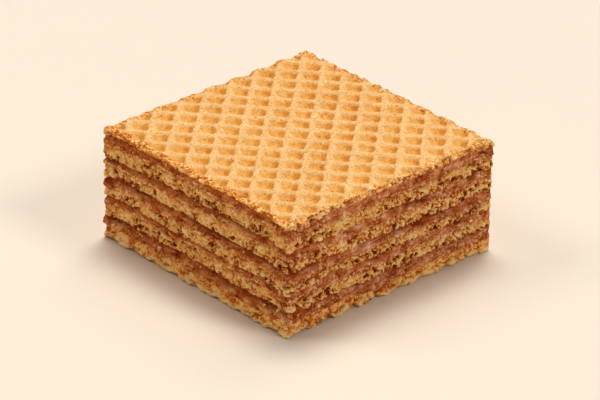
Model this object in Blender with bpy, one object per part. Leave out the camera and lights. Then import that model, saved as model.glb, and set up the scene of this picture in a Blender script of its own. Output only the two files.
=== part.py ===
"""A filled wafer: six baked wafer sheets and five layers of nut cream, stacked by turns and cut square.

The origin is the middle of the underside, +Z is up, and the two cut sides that show
best are the ones at -Y and at +X. Every layer runs through the whole block.
"""

import math

import bmesh
import bpy
import numpy as np
from mathutils import Vector

# ---------------------------------------------------------------- sizes (metres)
SIDE = 0.0361  # mean side of the square cut
CORNER_RADIUS = 0.0008  # the upright edges are a little worn
JOINT_GAP = 0.0003  # clearance between one layer and the next

TOP_WAFER = 0.00100
INNER_WAFERS = (0.00185, 0.00175, 0.00130, 0.00150)  # from the top down
BOTTOM_WAFER = 0.00190
CREAMS = (0.00135, 0.00125, 0.00165, 0.00120, 0.00175)  # from the top down

EDGE_WAVE = 0.00012  # how far a layer's boundary wanders up and down at a cut side
CUT_WAVE = 0.00022  # how far a wafer's cut edge wanders in and out
CREAM_STEP = 0.00010  # the cream stands this much behind the wafers, and swells by half of it
RIM_DEPTH = 0.0016  # inside this distance from a cut side the layers are flat
RIM_CHAMFER = 0.00022  # worn rim of the two outer sheets

RIDGE_TOP = 0.00062  # flat width on top of a waffle ridge
PIT_FLOOR = 0.00090  # side of the flat square at the bottom of a pit
PIT_DEPTH = 0.00050
PIT_CLEARANCE = 0.00010  # how far a cutter stands out of the face it cuts
LEAST_BITE = 0.00035  # a pit that would only graze the cut side is left out

# The waffle pattern is two families of straight ridges, nearly on the square's diagonals.
PITCH_ACROSS = 0.00292  # ridges running from the left corner to the right one
PITCH_ALONG = 0.00299  # ridges running from the back corner to the front one
ACROSS_NORMAL = math.radians(-47.4)
ALONG_NORMAL = math.radians(42.4)
TOP_PHASE = (-0.322, 0.562)  # where ridges number 0 lie, in pitches from the middle
BOTTOM_PHASE = (0.30, 0.33)  # so that the pits open at the cut sides where the lower edges are scalloped

POINTS_A_SIDE = 9  # points along each straight cut side


# ---------------------------------------------------------------- helpers
def clear_scene():
    for obj in list(bpy.data.objects):
        bpy.data.objects.remove(obj, do_unlink=True)
    for store in (bpy.data.meshes, bpy.data.materials, bpy.data.curves):
        for block in list(store):
            store.remove(block)


def material(name, color, roughness):
    mat = bpy.data.materials.new(name)
    mat.use_nodes = True
    shader = mat.node_tree.nodes["Principled BSDF"]
    shader.inputs["Base Color"].default_value = (*color, 1.0)
    shader.inputs["Roughness"].default_value = roughness
    shader.inputs["Metallic"].default_value = 0.0
    mat.diffuse_color = (*color, 1.0)
    return mat


def link(name, mesh_builder, mat):
    mesh = bpy.data.meshes.new(name)
    bmesh.ops.recalc_face_normals(mesh_builder, faces=mesh_builder.faces[:])
    mesh_builder.to_mesh(mesh)
    mesh_builder.free()
    mesh.materials.append(mat)
    obj = bpy.data.objects.new(name, mesh)
    bpy.context.scene.collection.objects.link(obj)
    return obj


def wave(turn, seed, terms=(3, 5, 8, 13)):
    """A smooth periodic wander between about -1 and 1, for turn from 0 to 1 round the square."""
    rng = np.random.default_rng(seed)
    phases = rng.uniform(0, 2 * math.pi, len(terms))
    weights = rng.uniform(0.5, 1.0, len(terms))
    total = sum(
        w * math.sin(2 * math.pi * n * turn + p)
        for n, p, w in zip(terms, phases, weights)
    )
    return total / float(weights.sum())


def square_outline():
    """(x, y, outward direction, turn) of points round the square, counter-clockwise, corners rounded."""
    half = SIDE / 2
    run = half - CORNER_RADIUS
    points = []
    for quarter in range(4):
        angle = quarter * math.pi / 2
        # the side whose outward direction is -Y, +X, +Y, -X in turn
        out = Vector((math.sin(angle), -math.cos(angle)))
        along = Vector((math.cos(angle), math.sin(angle)))
        for i in range(POINTS_A_SIDE):
            s = -run + 2 * run * i / (POINTS_A_SIDE - 1)
            points.append((out * half + along * s, out.copy()))
        middle = out * run + along * run
        diagonal = (out + along).normalized()
        points.append((middle + diagonal * CORNER_RADIUS, diagonal))
    return [
        (point.x, point.y, direction, i / len(points))
        for i, (point, direction) in enumerate(points)
    ]


OUTLINE = square_outline()


def loop(bm, seed, inset, height, wander=0.0, wander_seed=0, cut=CUT_WAVE):
    """A closed loop of vertices: the outline drawn in by inset and wandering, at a height that may wander too."""
    shrink = 1.0 - 2 * inset / SIDE
    verts = []
    for x, y, out, turn in OUTLINE:
        step = cut * wave(turn, seed)
        z = height + wander * wave(turn, wander_seed, (4, 7, 11, 17))
        verts.append(
            bm.verts.new((x * shrink + out.x * step, y * shrink + out.y * step, z))
        )
    return verts


def bridge(bm, lower, upper):
    count = len(lower)
    for i in range(count):
        j = (i + 1) % count
        bm.faces.new((lower[i], lower[j], upper[j], upper[i]))


def wafer_sheet(name, low, high, low_seed, high_seed, seed, mat):
    """An inner sheet: flat inside, with boundaries that wander at the cut sides."""
    bm = bmesh.new()
    rings = [
        loop(bm, 0, RIM_DEPTH, low, cut=0.0),
        loop(bm, seed, 0.0, low, EDGE_WAVE, low_seed),
        loop(bm, seed + 50, 0.0, high, EDGE_WAVE, high_seed),
        loop(bm, 0, RIM_DEPTH, high, cut=0.0),
    ]
    for lower, upper in zip(rings, rings[1:]):
        bridge(bm, lower, upper)
    bm.faces.new(rings[0][::-1])
    bm.faces.new(rings[-1])
    return link(name, bm, mat)


def cream_sheet(name, low, high, low_seed, high_seed, seed, mat):
    """A cream layer: it stands a little behind the wafers and swells at half height."""
    bm = bmesh.new()
    rings = [
        loop(bm, 0, RIM_DEPTH, low, cut=0.0),
        loop(bm, seed, CREAM_STEP, low, EDGE_WAVE, low_seed),
        loop(bm, seed + 50, CREAM_STEP / 2, (low + high) / 2, EDGE_WAVE / 2, seed + 90),
        loop(bm, seed, CREAM_STEP, high, EDGE_WAVE, high_seed),
        loop(bm, 0, RIM_DEPTH, high, cut=0.0),
    ]
    for lower, upper in zip(rings, rings[1:]):
        bridge(bm, lower, upper)
    bm.faces.new(rings[0][::-1])
    bm.faces.new(rings[-1])
    return link(name, bm, mat)


def outer_sheet(name, low, high, inner_seed, seed, mat, face_up):
    """An outer sheet: its waffle face is flat over the ridges and has a worn rim, its other face wanders at the rim."""
    bm = bmesh.new()
    chamfer = RIM_CHAMFER
    if face_up:
        rings = [
            loop(bm, 0, RIM_DEPTH, low, cut=0.0),
            loop(bm, seed, 0.0, low, EDGE_WAVE, inner_seed),
            loop(bm, seed, 0.0, high - chamfer),
            loop(bm, seed, chamfer, high),
        ]
    else:
        rings = [
            loop(bm, seed, chamfer, low),
            loop(bm, seed, 0.0, low + chamfer),
            loop(bm, seed, 0.0, high, EDGE_WAVE, inner_seed),
            loop(bm, 0, RIM_DEPTH, high, cut=0.0),
        ]
    for lower, upper in zip(rings, rings[1:]):
        bridge(bm, lower, upper)
    bm.faces.new(rings[0][::-1])
    bm.faces.new(rings[-1])
    return link(name, bm, mat)


def pit_cutter(name, face, upward, phase):
    """One closed truncated pyramid for each waffle pit, standing PIT_CLEARANCE out of the face."""
    bm = bmesh.new()
    normal_a = Vector((math.cos(ACROSS_NORMAL), math.sin(ACROSS_NORMAL)))
    normal_b = Vector((math.cos(ALONG_NORMAL), math.sin(ALONG_NORMAL)))
    cross = normal_a.x * normal_b.y - normal_a.y * normal_b.x

    def place(a, b):
        """The point whose distances along the two normals are a and b."""
        return Vector(
            (
                (a * normal_b.y - b * normal_a.y) / cross,
                (b * normal_a.x - a * normal_b.x) / cross,
            )
        )

    slope = (PITCH_ACROSS - RIDGE_TOP - PIT_FLOOR) / 2 / PIT_DEPTH
    sign = 1.0 if upward else -1.0
    reach = int(SIDE / PITCH_ACROSS) + 2
    edge = SIDE / 2 - LEAST_BITE
    for m in range(-reach, reach):
        for n in range(-reach, reach):
            a0 = (m + 0.5 + phase[0]) * PITCH_ACROSS
            b0 = (n + 0.5 + phase[1]) * PITCH_ALONG
            half_a = (PITCH_ACROSS - RIDGE_TOP) / 2
            half_b = (PITCH_ALONG - RIDGE_TOP) / 2
            corners = [
                place(a0 + i * half_a, b0 + j * half_b)
                for i, j in ((-1, -1), (1, -1), (1, 1), (-1, 1))
            ]
            if min(abs(c.x) for c in corners) > edge or min(abs(c.y) for c in corners) > edge:
                continue
            rings = []
            for depth, grow in (
                (PIT_DEPTH, -slope * PIT_DEPTH),
                (-PIT_CLEARANCE, slope * PIT_CLEARANCE),
            ):
                ring = []
                for i, j in ((-1, -1), (1, -1), (1, 1), (-1, 1)):
                    p = place(a0 + i * (half_a + grow), b0 + j * (half_b + grow))
                    ring.append(bm.verts.new((p.x, p.y, face - sign * depth)))
                rings.append(ring)
            bridge(bm, rings[0], rings[1])
            bm.faces.new(rings[0][::-1])
            bm.faces.new(rings[1])
    mesh = bpy.data.meshes.new(name)
    bmesh.ops.recalc_face_normals(bm, faces=bm.faces[:])
    bm.to_mesh(mesh)
    bm.free()
    obj = bpy.data.objects.new(name, mesh)
    obj.hide_render = True
    obj.display_type = "WIRE"
    bpy.context.scene.collection.objects.link(obj)
    return obj


def cut_pits(sheet, cutter):
    modifier = sheet.modifiers.new("pits", "BOOLEAN")
    modifier.operation = "DIFFERENCE"
    modifier.solver = "EXACT"
    modifier.object = cutter


# ---------------------------------------------------------------- the stack
def build():
    clear_scene()
    crust = material("golden_crust", (0.72, 0.37, 0.125), 0.85)
    crumb = material("wafer_crumb", (0.50, 0.27, 0.10), 0.9)
    cream = material("nut_cream", (0.30, 0.105, 0.035), 0.6)

    # boundaries from the top down: (height, seed of its wander)
    thick = [TOP_WAFER]
    for filling, sheet in zip(CREAMS, (*INNER_WAFERS, BOTTOM_WAFER)):
        thick += [filling, sheet]
    heights = [sum(thick)]
    for t in thick:
        heights.append(heights[-1] - t)
    total = heights[0]

    count = len(thick)
    half_gap = JOINT_GAP / 2
    for i in range(count):
        high = heights[i] - (half_gap if i > 0 else 0.0)
        low = heights[i + 1] + (half_gap if i < count - 1 else 0.0)
        if i == 0:
            top = outer_sheet("wafer_1_top", low, high, 201, 11, crust, True)
            cut_pits(top, pit_cutter("top_pits", total, True, TOP_PHASE))
        elif i == count - 1:
            bottom = outer_sheet("wafer_6_bottom", 0.0, high, 200 + i, 17, crust, False)
            cut_pits(bottom, pit_cutter("bottom_pits", 0.0, False, BOTTOM_PHASE))
        elif i % 2 == 0:
            wafer_sheet(
                f"wafer_{i // 2 + 1}", low, high, 201 + i, 200 + i, 20 + i, crumb
            )
        else:
            cream_sheet(
                f"cream_{i // 2 + 1}", low, high, 201 + i, 200 + i, 30 + i, cream
            )
    centre_on_origin()


def centre_on_origin():
    """Moves every mesh sideways by the same small amount, so that the block's box is centred on the origin."""
    solids = [obj for obj in bpy.data.objects if obj.type == "MESH" and not obj.hide_render]
    xs = [v.co.x for obj in solids for v in obj.data.vertices]
    ys = [v.co.y for obj in solids for v in obj.data.vertices]
    shift = Vector((-(min(xs) + max(xs)) / 2, -(min(ys) + max(ys)) / 2, 0.0))
    for obj in bpy.data.objects:
        if obj.type == "MESH":
            for v in obj.data.vertices:
                v.co += shift


build()
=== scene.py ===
"""Looks of the filled wafer: six porous wafer sheets with five layers of nut cream, on a plain pale floor.

Lengths in the modelling code are millimetres, and are turned into metres when a mesh is written.
"""

import math
import time

import bpy
import numpy as np
from mathutils import Matrix, Vector


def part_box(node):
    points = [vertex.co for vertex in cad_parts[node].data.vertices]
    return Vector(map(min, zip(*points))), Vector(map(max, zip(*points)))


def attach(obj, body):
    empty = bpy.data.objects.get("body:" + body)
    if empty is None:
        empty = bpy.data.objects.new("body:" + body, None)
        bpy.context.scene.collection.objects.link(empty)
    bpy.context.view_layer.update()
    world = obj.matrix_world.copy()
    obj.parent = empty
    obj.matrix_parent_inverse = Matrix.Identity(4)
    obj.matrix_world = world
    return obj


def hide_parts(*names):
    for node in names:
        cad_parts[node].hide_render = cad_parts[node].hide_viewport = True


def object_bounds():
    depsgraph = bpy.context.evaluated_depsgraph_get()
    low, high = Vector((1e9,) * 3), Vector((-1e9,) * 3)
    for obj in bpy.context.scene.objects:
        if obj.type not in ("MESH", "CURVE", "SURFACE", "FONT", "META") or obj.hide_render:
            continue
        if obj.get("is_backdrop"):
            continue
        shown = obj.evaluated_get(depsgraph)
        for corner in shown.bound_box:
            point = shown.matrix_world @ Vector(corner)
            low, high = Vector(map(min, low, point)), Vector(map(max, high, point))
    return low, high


started = time.time()
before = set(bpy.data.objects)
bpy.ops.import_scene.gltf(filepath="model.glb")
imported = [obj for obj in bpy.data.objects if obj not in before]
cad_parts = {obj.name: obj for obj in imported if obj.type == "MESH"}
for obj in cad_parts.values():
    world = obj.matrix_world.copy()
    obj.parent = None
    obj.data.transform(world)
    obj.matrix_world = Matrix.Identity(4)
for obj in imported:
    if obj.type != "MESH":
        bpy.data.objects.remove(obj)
cad_low, cad_high = (np.array(v) * 1000.0 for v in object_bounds())
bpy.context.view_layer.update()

NODES = [
    "wafer_1_top", "cream_1", "wafer_2", "cream_2", "wafer_3", "cream_3",
    "wafer_4", "cream_4", "wafer_5", "cream_5", "wafer_6_bottom",
]
BOX = {n: [np.array(v) * 1000.0 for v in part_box(n)] for n in NODES}
TOP_Z = cad_high[2]
HALF = 18.0  # mean cut plane, from the middle
REACH = np.minimum(cad_high[:2], -cad_low[:2]) - 0.004  # nothing stands out of this
CORNER = 0.30
STEP = 0.103  # height of one row of the cut sides

# levels[i] is the nominal height of the boundary over NODES[i]
levels = [TOP_Z]
for upper, lower in zip(NODES, NODES[1:]):
    levels.append((BOX[upper][0][2] + BOX[lower][1][2]) / 2)
levels.append(0.0)

PITCH_A, PITCH_B = 2.92, 2.99
ANGLE_A, ANGLE_B = math.radians(-47.4), math.radians(42.4)
TOP_PHASE = (-0.322, 0.562)
BOTTOM_PHASE = (0.30, 0.33)


# ------------------------------------------------------------------ noise
_rng = np.random.default_rng(20)
_perm = np.concatenate([_rng.permutation(256)] * 3).astype(np.int32)
_grad = _rng.normal(size=(256, 3))
_grad /= np.linalg.norm(_grad, axis=1, keepdims=True)
_grad = _grad.astype(np.float32)


def noise(p, size, seed=0):
    """Smooth gradient noise of about -1 to 1 at points p (n, 3), with features about size across. size may be (x, y, z)."""
    q = (p / np.asarray(size, np.float64) + np.array([17.31, 5.77, 9.13]) * (seed + 1)).astype(np.float64)
    cell = np.floor(q).astype(np.int64)
    f = (q - cell).astype(np.float32)
    w = f * f * f * (f * (f * 6 - 15) + 10)
    x, y, z = (cell & 255).T
    total = np.zeros(len(p), np.float32)
    for dx in (0, 1):
        hx = _perm[x + dx]
        wx = w[:, 0] if dx else 1 - w[:, 0]
        for dy in (0, 1):
            hy = _perm[(hx + y + dy) & 255]
            wy = w[:, 1] if dy else 1 - w[:, 1]
            for dz in (0, 1):
                g = _grad[_perm[(hy + z + dz) & 255]]
                wz = w[:, 2] if dz else 1 - w[:, 2]
                dot = g[:, 0] * (f[:, 0] - dx) + g[:, 1] * (f[:, 1] - dy) + g[:, 2] * (f[:, 2] - dz)
                total += wx * wy * wz * dot
    return total * 1.6


_spot = np.random.default_rng(21).random((256, 4)).astype(np.float32)


def cells(p, size, seed=0):
    """Bubbles scattered about size apart: (distance to the nearest middle, that to the next one, both in sizes, and the nearest one's own random number)."""
    q = p / np.asarray(size, np.float64) + np.array([3.1, 7.7, 1.9]) * (seed + 1)
    base = np.floor(q).astype(np.int64)
    f = (q - base).astype(np.float32)
    first = np.full(len(p), 9.0, np.float32)
    second, own = first.copy(), np.zeros(len(p), np.float32)
    for dx in (-1, 0, 1):
        hx = _perm[(base[:, 0] + dx) & 255]
        for dy in (-1, 0, 1):
            hy = _perm[(hx + base[:, 1] + dy) & 255]
            for dz in (-1, 0, 1):
                spot = _spot[_perm[(hy + base[:, 2] + dz) & 255]]
                d = np.sqrt((spot[:, 0] + dx - f[:, 0]) ** 2 + (spot[:, 1] + dy - f[:, 1]) ** 2 + (spot[:, 2] + dz - f[:, 2]) ** 2)
                nearer = d < first
                second = np.where(nearer, first, np.minimum(second, d))
                own = np.where(nearer, spot[:, 3], own)
                first = np.where(nearer, d, first)
    return first, second, own


def bubbles(p, size, seed, share):
    """0 to 1: how deep a point lies in one of the bubbles. share of the bubbles are open ones."""
    first, _, own = cells(p, size, seed)
    open_one = np.clip((own - (1 - share)) / 0.08, 0, 1)
    radius = 0.30 + 0.34 * ((own * 7.13) % 1.0)
    return open_one * np.clip(1 - (first / radius) ** 2, 0, 1) ** 0.7


def bits(p, size, seed, share):
    """0 to 1: rounded grains stuck on, with share from 0 to 1 saying how many, as a number or one for each point."""
    first, _, own = cells(p, size, seed)
    radius = 0.22 + 0.26 * ((own * 5.7) % 1.0)
    return np.clip((share - own) / 0.06, 0, 1) * np.clip(1 - (first / radius) ** 2, 0, 1) ** 0.5


def smooth(low, high, x):
    t = np.clip((x - low) / (high - low), 0, 1)
    return t * t * (3 - 2 * t)


# ------------------------------------------------------------------ the cut outline
def outline(count, radius=CORNER):
    """(point, outward direction, way round) for count points round the square, counter-clockwise from the middle of the corner at -X -Y. count is a multiple of 4.
    The way round runs from 0 to 4, one for each side: -Y, +X, +Y, -X."""
    run = HALF - radius
    side = 2 * run + radius * math.pi / 2
    t = np.arange(count) / count * 4
    quarter = np.floor(t).astype(int)
    d = (t - quarter) * side
    arc = radius * math.pi / 4
    angle = np.where(d < arc, (d / arc - 1) * math.pi / 4, np.where(d > side - arc, (d - side + arc) / arc * math.pi / 4, 0))
    along = np.clip(d - arc, 0, 2 * run) - run
    # in the frame of one side: outward is (0, -1), along is (1, 0)
    nx, ny = np.sin(angle), -np.cos(angle)
    px = along + radius * np.sin(angle)
    py = -run - radius * np.cos(angle)
    c, s = np.cos(quarter * math.pi / 2), np.sin(quarter * math.pi / 2)
    point = np.stack([px * c - py * s, px * s + py * c], 1)
    out = np.stack([nx * c - ny * s, nx * s + ny * c], 1)
    return point, out, t


def at(side, mm):
    """The way round for a point that lies mm along a side, counted from its start corner."""
    return side + np.asarray(mm) / (2 * HALF)


def turn_gap(a, b):
    """Signed distance in mm from way b to way a, the short way round."""
    return ((a - b + 2) % 4 - 2) * 2 * HALF


# Stretches of the cut where cream and crumbs are torn and mixed: (way round of the middle, half length in mm, how much)
MESSY = [(at(1, 2.6), 4.2, 1.0), (at(0, 34.6), 2.4, 0.8), (at(0, 17.0), 3.5, 0.35), (at(1, 19.5), 2.5, 0.45),
         (at(1, 33.5), 2.2, 0.6), (at(0, 1.0), 2.0, 0.4), (at(2, 9.0), 4.0, 0.6), (at(2, 27.0), 3.0, 0.4), (at(3, 14.0), 5.0, 0.5)]


def messy(t):
    found = np.full(len(t), 0.12)
    for where, half, much in MESSY:
        found = np.maximum(found, much * (1 - smooth(0.5 * half, half, np.abs(turn_gap(t, where)))))
    return found


# ------------------------------------------------------------------ boundaries between layers
def boundary(index, t, p):
    """The height of boundary index at the cut, at ways t and points p on the outline at that height."""
    base = levels[index]
    if index in (0, len(NODES)):
        return np.full(len(t), base)
    z = base + 0.15 * noise(p, 6.5, 300 + index) + 0.14 * noise(p, 2.1, 330 + index)
    for side, lift in enumerate(SIDE_LIFT[index]):
        z += lift * (1 - smooth(14.5, 18.0, np.abs(turn_gap(t, at(side, 18.0)))))
    much = 1 + 1.0 * messy(t)
    z += 0.10 * much * noise(p, 0.95, 360 + index) + 0.06 * much * noise(p, 0.42, 390 + index)
    for where, lift, width in LIFTS.get(index, ()):
        z += lift * np.exp(-(turn_gap(t, where) / width) ** 2)
    return z


# How far each boundary lies over its nominal height along the sides at -Y and +X
SIDE_LIFT = {1: (0.40, 0.18), 2: (0.55, 0.05), 3: (0.42, 0.0), 4: (0.45, 0.0), 5: (0.48, 0.0), 6: (0.56, 0.22), 7: (0.30, 0.08),
             8: (0.55, 0.08), 9: (0.22, 0.0), 10: (-0.05, 0.05)}

# Places where a boundary bends up or down: {boundary: [(way round, mm up, half width in mm)]}
LIFTS = {
    2: [(at(0, 17.0), 0.25, 2.2), (at(0, 29.0), -0.05, 2.0), (at(1, 27.0), -0.2, 4.0), (at(0, 3.0), -0.25, 4.0)],
    3: [(at(0, 4.5), -0.42, 4.0), (at(0, 25.0), 0.2, 2.5), (at(0, 34.0), 0.2, 2.0), (at(0, 15.5), 0.45, 0.9), (at(0, 18.2), 0.40, 0.8), (at(1, 24.0), -0.1, 4.0), (at(1, 3.0), 0.15, 2.0)],
    4: [(at(0, 8.3), -0.3, 0.8), (at(1, 31.0), -0.15, 2.5), (at(0, 4.0), -0.2, 4.0), (at(0, 16.0), 0.15, 2.5), (at(0, 25.0), 0.22, 2.5)],
    5: [(at(0, 15.7), 0.15, 2.2), (at(0, 25.0), 0.15, 2.2), (at(1, 31.0), -0.25, 3.5), (at(1, 20.0), -0.2, 6.0), (at(1, 30.0), -0.25, 4.0), (at(1, 4.0), 0.2, 3.0)],
    6: [(at(0, 7.0), 0.2, 1.6), (at(0, 11.0), -0.2, 2.0), (at(1, 18.5), 0.3, 1.2), (at(1, 31.0), -0.45, 3.5)],
    7: [(at(0, 8.0), -0.15, 1.4), (at(0, 4.5), 0.2, 4.5), (at(0, 14.0), -0.15, 4.0), (at(1, 20.0), 0.2, 5.0), (at(1, 9.0), 0.42, 4.5)],
    8: [(at(0, 14.0), -0.25, 1.2), (at(0, 16.0), 0.2, 2.5), (at(0, 34.0), -0.25, 2.5), (at(1, 10.0), 0.1, 5.0)],
    9: [(at(0, 27.0), -0.2, 3.5), (at(0, 33.0), 0.1, 2.0), (at(1, 20.0), -0.1, 6.0), (at(0, 15.7), 0.3, 2.5), (at(0, 20.5), 0.15, 2.5)],
    10: [(at(0, 15.0), 0.3, 1.0), (at(0, 24.0), -0.2, 1.2), (at(0, 10.0), 0.1, 3.0), (at(1, 16.0), -0.45, 3.5)],
}

# Open gaps under a wafer: {boundary: [(way round of the middle, half length, mm high)]}
GAPS = {
    3: [(at(1, 23.0), 3.4, 0.30), (at(1, 32.6), 0.9, 0.5), (at(0, 15.4), 0.9, 0.35), (at(0, 18.0), 0.9, 0.35)],
    5: [(at(1, 23.5), 7.5, 0.36), (at(1, 3.0), 2.8, 0.42), (at(2, 12.0), 6.0, 0.25), (at(3, 25.0), 5.0, 0.3)],
    7: [(at(1, 30.5), 1.0, 0.2), (at(3, 8.0), 4.0, 0.22)],
    9: [(at(0, 32.5), 1.6, 0.35), (at(0, 25.0), 1.2, 0.2), (at(2, 26.0), 4.0, 0.3)],
}


def gap(index, t, p):
    """How far the layer under boundary index has come away from it."""
    opened = 0.10 * smooth(0.35, 0.75, noise(p, 3.0, 420 + index))
    for where, half, high in GAPS.get(index, ()):
        opened = np.maximum(opened, high * (1 - smooth(0.55 * half, half, np.abs(turn_gap(t, where)))))
    return opened * (0.8 + 0.5 * noise(p, 0.9, 440 + index))


# ------------------------------------------------------------------ relief of a cut side
def scatter(rng, length, low, high, per_mm2):
    n = int(length * (high - low) * per_mm2)
    return rng.uniform(0, length, n), rng.uniform(low, high, n)


def dig(depth, s_grid, z_grid, length, s0, z0, rs, rz, deep, soft=0.5):
    """Digs one rounded hole into depth (ways, rows), which holds the deepest so far. s_grid holds the mm round."""
    n = len(s_grid)
    step = length / n
    reach = int(math.ceil(rs * 1.05 / step)) + 1
    middle = int(round(s0 / step))
    cols = np.arange(middle - reach, middle + reach + 1) % n
    ds = (s_grid[cols] - s0 + length / 2) % length - length / 2
    r2 = (ds[:, None] / rs) ** 2 + ((z_grid[cols] - z0) / rz) ** 2
    inside = np.clip(1 - r2, 0, 1)
    depth[cols] = np.maximum(depth[cols], deep * inside**soft)


def pores(depth, s_grid, z_grid, length, rng, low, high, kinds):
    """kinds is [(number per mm2, smallest radius, largest radius, depth in radii)]."""
    for per_mm2, r_low, r_high, deep in kinds:
        s0, z0 = scatter(rng, length, low, high, per_mm2)
        r = r_low + (r_high - r_low) * rng.random(len(s0)) ** 1.7
        stretch = rng.uniform(0.75, 1.45, len(s0))
        how = rng.uniform(0.6, 1.15, len(s0))
        for i in range(len(s0)):
            dig(depth, s_grid, z_grid, length, s0[i], z0[i], r[i] * stretch[i], r[i] / stretch[i] ** 0.5, deep * r[i] * how[i])


# Torn holes at the two cut sides that show best: (side, mm along, height, half length, half height, depth)
HOLES = [
    (0, 15.3, 12.55, 0.50, 0.28, 0.75), (0, 18.0, 12.6, 0.70, 0.32, 0.7), (0, 21.6, 13.6, 1.1, 0.12, 0.4),
    (0, 26.5, 13.1, 1.4, 0.10, 0.35), (0, 27.8, 12.35, 0.55, 0.25, 0.6), (0, 30.7, 13.7, 0.22, 0.4, 0.45),
    (0, 2.2, 10.6, 0.5, 0.3, 0.4), (0, 5.4, 10.5, 0.45, 0.35, 0.35), (0, 10.1, 10.6, 0.4, 0.45, 0.35),
    (0, 21.2, 7.5, 0.5, 0.22, 0.5), (0, 4.6, 7.2, 0.7, 0.15, 0.45), (0, 13.9, 4.6, 0.7, 0.35, 0.4),
    (0, 32.0, 3.5, 0.9, 0.22, 0.6), (0, 7.0, 7.0, 0.5, 0.3, 0.4), (0, 24.0, 12.3, 0.5, 0.18, 0.5),
    (1, 18.9, 4.78, 0.75, 0.16, 0.6), (1, 3.1, 4.55, 0.45, 0.32, 0.55), (1, 7.0, 4.6, 0.55, 0.36, 0.5),
    (1, 11.9, 7.15, 0.4, 0.28, 0.6), (1, 2.6, 7.4, 0.3, 0.3, 0.4), (1, 9.9, 12.9, 0.5, 0.2, 0.5),
    (1, 33.7, 7.1, 0.6, 0.3, 0.7), (1, 19.0, 15.15, 0.4, 0.3, 0.55), (1, 4.2, 15.6, 0.5, 0.22, 0.5),
    (1, 31.9, 12.0, 0.55, 0.35, 0.8), (1, 27.5, 12.95, 0.8, 0.12, 0.4), (1, 28.2, 6.2, 0.6, 0.12, 0.5),
    (1, 9.6, 0.95, 0.6, 0.3, 0.4), (1, 15.6, 1.15, 0.9, 0.35, 0.45), (1, 28.4, 0.9, 0.8, 0.35, 0.45),
    (0, 12.5, 1.0, 0.7, 0.25, 0.35), (0, 19.5, 1.4, 0.6, 0.22, 0.35), (0, 30.0, 1.1, 0.6, 0.25, 0.35),
]


def shared_wander(p):
    """How the whole cut side wanders in and out: the same for every layer."""
    flat = p * [1, 1, 0.35]
    corner = 1 - smooth(0.3, 3.0, np.hypot(HALF - np.abs(p[:, 0]), HALF - np.abs(p[:, 1])))
    ends = np.where(p[:, 0] * p[:, 1] > 0, 0.20, 0.02)  # the corners at -X -Y and +X +Y stand out most
    return (0.10 * noise(flat, 8.0, 1) + 0.06 * noise(flat, 3.0, 2)) * (1 - 0.7 * corner) + ends * corner


def billow(p, size, seed):
    """Rounded lumps with sharp creases between them, about -0.5 to 0.5."""
    return np.abs(noise(p, size, seed)) * 2.0 - 0.55


def corner_left(t):
    """1 at the corner at -X -Y, and 0 from 2 mm away from it."""
    return 1 - smooth(0.7, 2.0, np.abs(turn_gap(t, 0.0)))


# How far each cream has drawn back under the wafer over it, in mm, and how far it stands out at the corner at -X -Y
DRAWN_BACK = {1: 0.24, 3: 0.42, 5: 0.62, 7: 0.40, 9: 0.66}
AT_CORNER = {1: 0.12, 3: 0.18, 5: 0.26, 7: 0.1, 9: 0.22}
# and how much of that drawing back each side has: -Y, +X, +Y, -X
BY_SIDE = [1.0, 0.45, 0.7, 0.85]


# How sharp the grain of each side is
CRISP = [1.0, 1.45, 1.15, 1.0]


SIDE_LIGHT_TINT = [0.0, 1.0, 0.6, 0.4]  # painted light: 1 tints the cream on a side cooler and bluer for whiter light, 0 warmer and darker for shade with warm bounce light


def by_side(way, values):
    """The value of each side, changing smoothly round each corner."""
    d = (way - 0.5) % 4
    k = np.floor(d).astype(int)
    blend = smooth(0.42, 0.58, d - k)
    values = np.array(values)
    return values[k % 4] * (1 - blend) + values[(k + 1) % 4] * blend


def side_share(way):
    """BY_SIDE, and near none at the corner at +X +Y."""
    return by_side(way, BY_SIDE) * (0.15 + 0.85 * smooth(0.5, 3.5, np.abs(turn_gap(way, 2.0))))


def painted_top_light(out):
    """How far a relief (ways, rows) faces upward at each point: above 0 on the tops of lumps, below 0 on their
    undersides. Added to rise, it paints top light: a painted highlight on upward faces and painted shade on undersides.
    """
    return np.clip(-np.gradient(out, axis=1) / STEP, -1.5, 1.5)


def wafer_grain(p, k):
    """(lumps, grain) of a wafer's cut side, for the wafer with seeds from k."""
    q = p + 0.25 * np.stack([noise(p, 0.9, k + 30), noise(p, 0.9, k + 31), noise(p, 0.9, k + 32)], 1)
    return 0.17 * billow(q, (1.9, 1.9, 1.1), k + 1) + 0.15 * billow(q, 0.72, k + 2), 0.09 * billow(p, 0.38, k + 3) + 0.05 * noise(p, 0.24, k + 4)


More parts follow.
